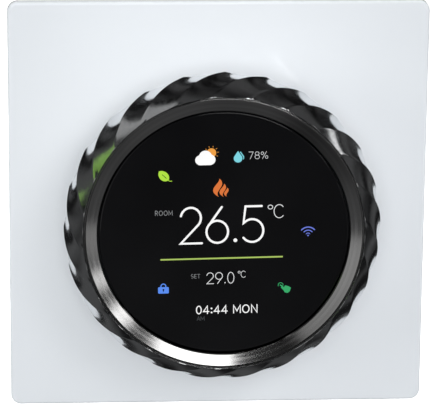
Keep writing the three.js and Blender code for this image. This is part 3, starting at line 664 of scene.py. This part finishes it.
def glyphs():
    """Letters and figures one unit high: each is its width and its strokes."""
    return {
        "0": (0.60, [ring(0.30, 0.50, 0.27, 0.50)]),
        "2": (0.62, [arc(0.31, 0.71, 0.28, 0.29, 168, -38, 16) + [(0.02, 0.0), (0.61, 0.0)]]),
        "4": (0.66, [[(0.47, 0.0), (0.47, 1.0), (0.02, 0.27), (0.64, 0.27)]]),
        "5": (0.62, [
            [(0.56, 1.0), (0.11, 1.0), (0.05, 0.53)]
            + arc(0.29, 0.32, 0.31, 0.32, 128, -142, 22)]),
        "6": (0.64, [[(0.45, 1.0), (0.09, 0.50)], ring(0.32, 0.31, 0.30, 0.31)]),
        "7": (0.58, [[(0.02, 1.0), (0.56, 1.0), (0.18, 0.0)]]),
        "8": (0.58, [ring(0.29, 0.755, 0.225, 0.245), ring(0.29, 0.265, 0.27, 0.265)]),
        "9": (0.64, [[(0.20, 0.0), (0.56, 0.50)], ring(0.33, 0.69, 0.30, 0.31)]),
        "%": (0.86, [
            ring(0.17, 0.78, 0.15, 0.20), ring(0.68, 0.22, 0.15, 0.20),
            [(0.66, 1.0), (0.18, 0.0)]]),
        "*": (0.38, [ring(0.17, 0.83, 0.16, 0.15)]),        # the degree sign
        "A": (0.66, [[(0.0, 0.0), (0.32, 1.0), (0.64, 0.0)], [(0.12, 0.34), (0.52, 0.34)]]),
        "C": (0.66, [arc(0.38, 0.50, 0.36, 0.50, 42, 318, 24)]),
        "E": (0.50, [
            [(0.47, 1.0), (0.04, 1.0), (0.04, 0.0), (0.47, 0.0)], [(0.04, 0.52), (0.42, 0.52)]]),
        "M": (0.84, [[(0.04, 0.0), (0.04, 1.0), (0.42, 0.25), (0.80, 1.0), (0.80, 0.0)]]),
        "N": (0.72, [[(0.04, 0.0), (0.04, 1.0), (0.66, 0.0), (0.66, 1.0)]]),
        "O": (0.80, [ring(0.39, 0.50, 0.37, 0.50)]),
        "R": (0.60, [
            [(0.04, 0.0), (0.04, 1.0), (0.30, 1.0)] + arc(0.30, 0.745, 0.24, 0.255, 90, -90, 12)
            + [(0.04, 0.49)], [(0.30, 0.49), (0.56, 0.0)]]),
        "S": (0.54, [
            arc(0.27, 0.75, 0.22, 0.25, 40, 270, 16)
            + arc(0.27, 0.26, 0.24, 0.24, 90, -140, 16)]),
        "T": (0.56, [[(0.0, 1.0), (0.56, 1.0)], [(0.28, 1.0), (0.28, 0.0)]]),
        " ": (0.26, []),
    }


GLYPHS = glyphs()
DOTS = {".": [0.06], ":": [0.14, 0.66]}     # heights of the dots
DOT_WIDTH = 0.16
DOT_WEIGHT = 0.9                            # radius, of the strokes' width


def write(picture, text, x, y, height, width, weight, gap=0.13):
    """Writes text from x, on the line y, fitted to a width, in millimetres.

    The gap between letters is in the glyphs' own units.
    """
    natural = 0.0
    places = []
    for letter in text:
        size = DOT_WIDTH if letter in DOTS else GLYPHS[letter][0]
        places.append((letter, natural))
        natural += size + gap
    natural -= gap
    stretch = width / natural
    for letter, start in places:
        left = x + start * stretch
        for level in DOTS.get(letter, []):
            middle = left + DOT_WIDTH / 2 * stretch
            picture.disc(middle, y + level * height, weight * DOT_WEIGHT, 16)
        if letter in DOTS:
            continue
        for path in GLYPHS[letter][1]:
            picture.stroke([(left + px * stretch, y + py * height) for px, py in path], weight)


def union_outline(circles, centre):
    """The outline round several overlapping discs, as seen from a point among them."""
    sides = 72
    outline = []
    for i in range(sides):
        turn = 2 * math.pi * i / sides
        way = Vector((math.cos(turn), math.sin(turn)))
        far = 0.0
        for x, y, radius in circles:
            to = Vector((x, y)) - Vector(centre)
            along = to.dot(way)
            inside = radius ** 2 - (to.length_squared - along ** 2)
            if inside > 0:
                far = max(far, along + math.sqrt(inside))
        outline.append((centre[0] + way.x * far, centre[1] + way.y * far))
    return outline


def make_text():
    """The figures, the labels and the line under the main figure."""
    big = Picture()
    write(big, "26.5", -8.85, -1.95, 7.45, 16.9, 0.43, gap=0.10)
    write(big, "04:44 MON", -5.75, -16.8, 1.62, 12.4, 0.205, gap=0.20)
    big.made("display_main_figures", WHITE)
    small = Picture()
    write(small, "*C", 8.85, 2.95, 2.75, 3.1, 0.15, gap=0.02)
    write(small, "29.0", -3.6, -10.5, 2.3, 5.6, 0.14, gap=0.12)
    write(small, "*C", 2.75, -9.35, 1.35, 1.5, 0.09, gap=0.04)
    write(small, "78%", 5.05, 15.3, 1.45, 3.9, 0.085, gap=0.16)
    small.made("display_small_figures", SOFT_WHITE)
    labels = Picture()
    write(labels, "ROOM", -13.75, 4.05, 0.95, 3.5, 0.085, gap=0.24)
    write(labels, "SET", -6.7, -9.25, 0.8, 1.8, 0.07, gap=0.2)
    labels.made("display_labels", GREY)
    dim = Picture()
    write(dim, "AM", -5.6, -18.2, 0.8, 1.5, 0.13)
    dim.made("display_dim_label", DIM)
    line = Picture()
    line.stroke([(-12.8, -5.2), (11.8, -5.2)], 0.31, round_ends=False)
    line.made("display_line", LIME)


def make_weather():
    """A cloud in front of a sun with rays."""
    cloud = Picture(layer=1)
    circles = [(-4.6, 15.3, 1.0), (-3.55, 15.95, 1.3), (-2.6, 15.35, 1.05), (-3.6, 14.9, 0.6)]
    cloud.shape(union_outline(circles, (-3.6, 15.2)))
    base = arc(-4.65, 14.85, 0.6, 0.6, 180, 270, 6) + arc(-2.55, 14.85, 0.6, 0.6, 270, 360, 6)
    cloud.shape(base + [(-1.95, 15.3), (-5.25, 15.3)])
    cloud.made("display_cloud", WHITE)
    sun = Picture()
    x, y = -2.35, 16.75
    sun.disc(x, y, 0.95, 28)
    for turn in range(-30, 181, 35):
        right, up = math.cos(math.radians(turn)), math.sin(math.radians(turn))
        sun.stroke([(x + reach * right, y + reach * up) for reach in (1.2, 1.4)], 0.1)
    sun.made("display_sun", ORANGE)


def drop(x, y, size):
    """A drop's outline: a round bottom drawn up to a point."""
    low = arc(x, y, size, size, 155, 385, 20)
    waist, shoulder, tip = size * 0.42, size * 1.15, size * 1.75
    return low + [(x + waist, y + shoulder), (x, y + tip), (x - waist, y + shoulder)]


def make_drops():
    """Two drops of water, with a dark gap round the nearer one."""
    back = Picture()
    back.shape(drop(3.45, 15.65, 0.72))
    back.made("display_drop_back", CYAN)
    gap = Picture(layer=1)
    gap.shape(drop(2.98, 15.45, 1.02))
    gap.made("display_drop_gap", SURFACES["panel_glass"])
    front = Picture(layer=2)
    front.shape(drop(2.95, 15.5, 0.86))
    front.made("display_drop_front", CYAN)


def bend(start, first, second, end):
    """Points along a curve from start towards end, pulled by two handles; end is left out."""
    steps = 12
    handles = [Vector(p) for p in (start, first, second, end)]
    points = []
    for i in range(steps):
        t = i / steps
        shares = ((1 - t) ** 3, 3 * t * (1 - t) ** 2, 3 * t * t * (1 - t), t ** 3)
        points.append(sum((h * w for h, w in zip(handles, shares)), Vector((0, 0))))
    return points


def make_leaf():
    """A leaf with a bent stalk and a dark vein."""
    leaf = Picture()
    tip, stem = (-12.85, 13.2), (-10.95, 11.3)
    left = bend(tip, (-13.35, 12.0), (-12.2, 10.6), stem)
    right = bend(stem, (-10.4, 12.4), (-11.7, 13.6), tip)
    leaf.shape(left + right)
    leaf.stroke([(-11.1, 11.4), (-10.7, 11.1), (-10.3, 11.15)], 0.13)
    leaf.made("display_leaf", LEAF)
    vein = Picture(layer=1)
    vein.stroke([(-12.2, 12.5), (-11.4, 11.75)], 0.12)
    vein.made("display_leaf_vein", SURFACES["panel_glass"])


def make_flame():
    """Three tongues of flame side by side, each bellied to the left and drawn up in an S."""
    flame = Picture()
    x, y, widening = -1.2, 7.6, 1.2
    tip, foot = (0.35, 3.8), (0.2, 0.0)
    tongue = bend(tip, (0.3, 2.5), (-2.0, 1.6), foot) + bend(foot, (-0.75, 1.3), (1.75, 2.2), tip)
    for start, size in ((0.0, 1.0), (0.85, 0.72), (1.45, 0.5)):
        flame.shape([(x + widening * (start + p.x * size), y + p.y * size) for p in tongue])
    flame.made("display_flame", FLAME)


def make_radio():
    """A wireless sign: three arcs over a dot."""
    radio = Picture()
    x, y = 16.9, -0.9
    for radius, width in ((1.75, 0.24), (1.1, 0.2), (0.5, 0.16)):
        radio.stroke(arc(x, y, radius, radius, 42, 138, 12), width)
    radio.disc(x, y, 0.16, 12)
    radio.made("display_radio_sign", LILAC)


def make_lock():
    """A padlock with rounded corners, a shackle and a keyhole."""
    lock = Picture()
    x, y, half, height, corner = -12.3, -12.3, 1.08, 1.35, 0.22
    body = []
    for cx, cy, start in (
            (half - corner, corner, 270), (half - corner, height - corner, 0),
            (corner - half, height - corner, 90), (corner - half, corner, 180)):
        body += arc(x + cx, y + cy, corner, corner, start, start + 90, 4)
    lock.shape(body)
    shackle = arc(x, y + 1.45, 0.5, 0.55, 180, 0, 10)
    lock.stroke([(x - 0.5, y + 1.3)] + shackle + [(x + 0.5, y + 1.3)], 0.22)
    lock.made("display_lock", BLUE)
    hole = Picture(layer=1)
    hole.disc(x, y + 0.78, 0.2, 12)
    hole.stroke([(x, y + 0.75), (x, y + 0.4)], 0.14)
    hole.made("display_lock_hole", SURFACES["panel_glass"])


def make_hand():
    """A hand that points to the upper left, with a ring of touch round the fingertip."""
    hand = Picture()
    x, y, size = 12.4, -11.95, 0.82
    palm = [
        (0.95, -0.75), (1.25, 0.15), (0.75, 0.55), (-0.15, 0.85), (-0.5, 0.35), (-1.05, 0.6),
        (-1.25, 0.3), (-0.55, -0.45), (-0.3, -0.95), (0.35, -1.15),
    ]
    hand.shape([(x + px * size, y + py * size) for px, py in reversed(palm)])
    knuckle, fingertip = (x - 0.75 * size, y + 0.45 * size), (x - 1.35 * size, y + 0.95 * size)
    hand.stroke([knuckle, fingertip], 0.3 * size)
    touch = 0.6 * size
    hand.stroke(arc(x - 1.3 * size, y + 0.95 * size, touch, touch, -20, 200, 12), 0.13)
    hand.made("display_hand", GREEN)


# ---------------------------------------------------------------- stage
LIGHT_DISTANCE = 1.5


def direction(azimuth, elevation):
    """The way out from the dial, by radians right of straight in front and radians up."""
    return Vector((
        math.sin(azimuth) * math.cos(elevation), -math.cos(azimuth) * math.cos(elevation),
        math.sin(elevation)))


def aim(obj, location):
    """Hangs a light at a place and points it at the dial; the camera never sees it."""
    obj.location = location
    obj.rotation_mode = "QUATERNION"
    obj.rotation_quaternion = location.to_track_quat("Z", "Y")
    obj.visible_camera = False
    bpy.context.scene.collection.objects.link(obj)


def softbox(name, azimuth, elevation, width, height, power, color=(1, 1, 1), seen=False):
    """A rectangular light aimed at the dial, in degrees, metres and watts.

    One that is seen shows in the metal and the glass, as a card does; the others only light
    the part.
    """
    light = bpy.data.lights.new(name, "AREA")
    light.shape = "RECTANGLE"
    light.size = width
    light.size_y = height
    light.energy = power
    light.color = color
    obj = bpy.data.objects.new(name, light)
    obj.visible_glossy = seen
    way = direction(math.radians(azimuth), math.radians(elevation))
    aim(obj, way * LIGHT_DISTANCE)


def make_lights():
    """Soft light on the part, and then the cards that its metal and glass reflect."""
    softbox("key", 24, 26, 0.5, 0.5, 3.2, (1, 0.995, 0.98))
    softbox("front", -4, 14, 0.6, 0.6, 7.4, (0.97, 0.99, 1))
    softbox("left", -50, 10, 0.4, 0.5, 2)
    softbox("rim_left", -80, 0, 0.8, 0.8, 4.5)
    softbox("rim_right", 80, 0, 0.8, 0.8, 4.5)
    softbox("rim_top", 0, 78, 0.8, 0.8, 4.5)
    softbox("low", 0, -55, 0.6, 0.4, 4.5)
    softbox("back", 180, 25, 1.2, 1.0, 22)
    softbox("back_low", 215, -20, 0.8, 0.8, 8)
    card = {"seen": True}
    softbox("window", 9.6, 7.6, 0.41, 0.18, 0.58, **card)
    softbox("window_side", 22.6, -1, 0.11, 0.11, 0.08, **card)
    softbox("window_low", 26.5, -8, 0.09, 0.09, 0.035, **card)
    softbox("window_end", 30, -15, 0.16, 0.18, 0.025, **card)
    softbox("low_left", -17, -5, 0.36, 0.56, 0.17, **card)
    softbox("ceiling_strip", 15, 32, 1.0, 0.10, 1.3, **card)
    softbox("wall_grey", -54, 46, 0.9, 0.6, 0.46, **card)
    softbox("plant", -70, 15, 0.4, 0.5, 0.21, (0.50, 1, 0.16), **card)
    softbox("back_card", 190, 5, 1.4, 1.4, 1.8, **card)
    softbox("lamp", 77, 25, 0.22, 0.2, 0.13, **card)
    make_halo()


HALO_WIDTH = math.radians(4.0)      # it lights a circle a little wider than the plate
HALO_POWER = 31
HALO_WAY = Vector((-0.06, -0.95, 0.28))


def make_halo():
    """A soft-edged spot straight at the dial, which brightens the plate close round it."""
    light = bpy.data.lights.new("halo", "SPOT")
    light.spot_size = HALO_WIDTH
    light.spot_blend = 1
    light.shadow_soft_size = 0.02
    light.energy = HALO_POWER
    halo = bpy.data.objects.new("halo", light)
    halo.visible_glossy = False
    aim(halo, HALO_WAY * LIGHT_DISTANCE)


ROOM_LOW = (0.97, 0.98, 1.0, 1)     # the room's colour at the floor and at the ceiling
ROOM_HIGH = (0.75, 0.75, 0.76, 1)
ROOM_FADE = (0.30, 0.95)            # heights, 0 to 1, over which the one turns into the other
ROOM_DARK, ROOM_PALE = 0.008, 0.072
SOFT_LIGHT = (0.95, 0.98, 1, 1)
SOFT_STRENGTH = 0.33


def make_world():
    """White to the camera, soft light on matt surfaces, and a dim, patchy room in the metal."""
    world = bpy.data.worlds.new("studio")
    world.use_nodes = True
    bpy.context.scene.world = world
    tree = world.node_tree

    def node(kind, **inputs):
        made = tree.nodes.new(kind)
        for key, value in inputs.items():
            made.inputs[key.replace("_", " ")].default_value = value
        return made

    shown = tree.nodes["Background"]
    shown.inputs["Color"].default_value = (1, 1, 1, 1)
    shown.inputs["Strength"].default_value = 1
    soft = node("ShaderNodeBackground", Color=SOFT_LIGHT, Strength=SOFT_STRENGTH)
    room = node("ShaderNodeBackground")
    place = node("ShaderNodeTexCoord").outputs["Generated"]
    parts = node("ShaderNodeSeparateXYZ")
    level = node("ShaderNodeMapRange", From_Min=-1)
    ramp = node("ShaderNodeValToRGB")
    for stop, position, color in zip(ramp.color_ramp.elements, ROOM_FADE, (ROOM_LOW, ROOM_HIGH)):
        stop.position = position
        stop.color = color
    patches = node("ShaderNodeTexNoise", Scale=2.6, Detail=1)
    dimness = node(
        "ShaderNodeMapRange", From_Min=0.4, From_Max=0.62, To_Min=ROOM_DARK, To_Max=ROOM_PALE)
    path = node("ShaderNodeLightPath")
    lighting = node("ShaderNodeMixShader")
    final = node("ShaderNodeMixShader")
    for source, target in (
            (place, parts.inputs["Vector"]),
            (parts.outputs["Z"], level.inputs["Value"]),
            (level.outputs["Result"], ramp.inputs["Fac"]),
            (ramp.outputs["Color"], room.inputs["Color"]),
            (place, patches.inputs["Vector"]),
            (patches.outputs["Fac"], dimness.inputs["Value"]),
            (dimness.outputs["Result"], room.inputs["Strength"]),
            (path.outputs["Is Diffuse Ray"], lighting.inputs["Fac"]),
            (room.outputs["Background"], lighting.inputs[1]),
            (soft.outputs["Background"], lighting.inputs[2]),
            (path.outputs["Is Camera Ray"], final.inputs["Fac"]),
            (lighting.outputs["Shader"], final.inputs[1]),
            (shown.outputs["Background"], final.inputs[2]),
            (final.outputs["Shader"], tree.nodes["World Output"].inputs["Surface"])):
        tree.links.new(source, target)


def make_floor():
    """A pale floor well below the plate."""
    half, level = 3.0, -0.35
    corners = [(x * half, y * half, level) for x, y in ((-1, -1), (1, -1), (1, 1), (-1, 1))]
    mesh = bpy.data.meshes.new("floor")
    mesh.from_pydata(corners, [], [(0, 1, 2, 3)])
    floor = bpy.data.objects.new("floor", mesh)
    bpy.context.scene.collection.objects.link(floor)
    surface = Surface("floor_pale", (0.93, 0.93, 0.93), 0.8, Emission_Strength=0.75)
    surface.shader.inputs["Emission Color"].default_value = (1, 1, 1, 1)
    surface.tint(surface.noise(4, 2), 0.01)
    dress(floor, surface)
    floor.visible_glossy = False
    floor.visible_diffuse = False


CAMERA_AZIMUTH = math.radians(-3.79)
CAMERA_ELEVATION = math.radians(16.03)
CAMERA_ROLL = math.radians(0.53)
CAMERA_DISTANCE = 0.6475
CAMERA_AIM = (1.53 * MM, -0.40 * MM)    # on the plate, right of the dial's axis and below it
CAMERA_LENS = 260                       # millimetres, as is the sensor
CAMERA_SENSOR = 36
CAMERA_SHIFT = (-0.0188, 0.0053)


def make_camera():
    """A long lens, nearly straight on from a little above and to the left."""
    data = bpy.data.cameras.new("camera")
    data.sensor_width = CAMERA_SENSOR
    data.lens = CAMERA_LENS
    data.shift_x, data.shift_y = CAMERA_SHIFT
    data.clip_start = 0.01
    camera = bpy.data.objects.new("camera", data)
    bpy.context.scene.collection.objects.link(camera)
    back = direction(CAMERA_AZIMUTH, CAMERA_ELEVATION)
    camera.location = out(*CAMERA_AIM, PLATE_OUT) + back * CAMERA_DISTANCE
    right = (-back).cross(Vector((0, 0, 1))).normalized()
    up = right.cross(-back)
    rolled_right = right * math.cos(CAMERA_ROLL) + up * math.sin(CAMERA_ROLL)
    rolled_up = up * math.cos(CAMERA_ROLL) - right * math.sin(CAMERA_ROLL)
    matrix = camera.matrix_world.copy()
    for row in range(3):
        matrix[row] = (rolled_right[row], rolled_up[row], back[row], camera.location[row])
    camera.matrix_world = matrix
    bpy.context.scene.camera = camera


# ---------------------------------------------------------------- build
bpy.context.scene.view_settings.view_transform = "Standard"
dress_frame()
make_knob()
make_bezel()
make_glass()
make_screws()
make_text()
make_weather()
make_drops()
make_leaf()
make_flame()
make_radio()
make_lock()
make_hand()
make_world()
make_lights()
make_floor()
make_camera()
